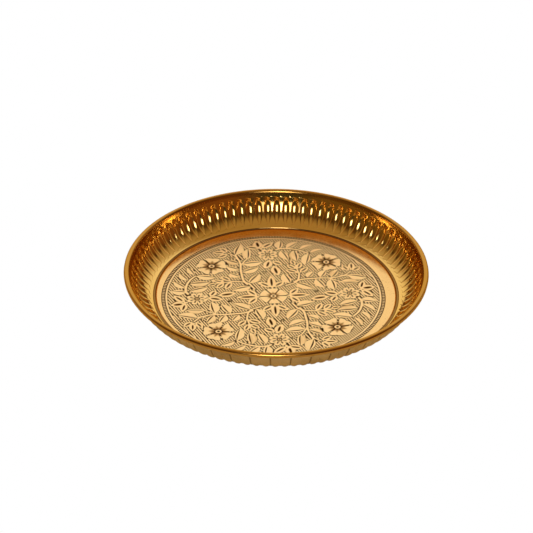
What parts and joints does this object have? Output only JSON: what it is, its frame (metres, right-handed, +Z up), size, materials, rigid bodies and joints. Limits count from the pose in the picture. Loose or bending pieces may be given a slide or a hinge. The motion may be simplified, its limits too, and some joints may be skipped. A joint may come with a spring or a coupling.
{
  "type": "brass tray",
  "caption": "Round shallow brass serving tray with a fluted flared wall, a rolled wire rim and a flat engraved floor.",
  "frame": {"origin": "middle of the tray, on the surface that it stands on", "axes": "+Z up, along the tray's axis of revolution"},
  "size_m": [0.254, 0.254, 0.0275],
  "materials": {
    "polished_brass": "polished wall, satin engraved floor with dark patina in the recesses",
    "steel_wire": "drawn wire, hidden in the rolled edge"
  },
  "bodies": {
    "root": {"pan": "polished_brass", "rim_wire": "steel_wire"}
  },
  "joints": []
}
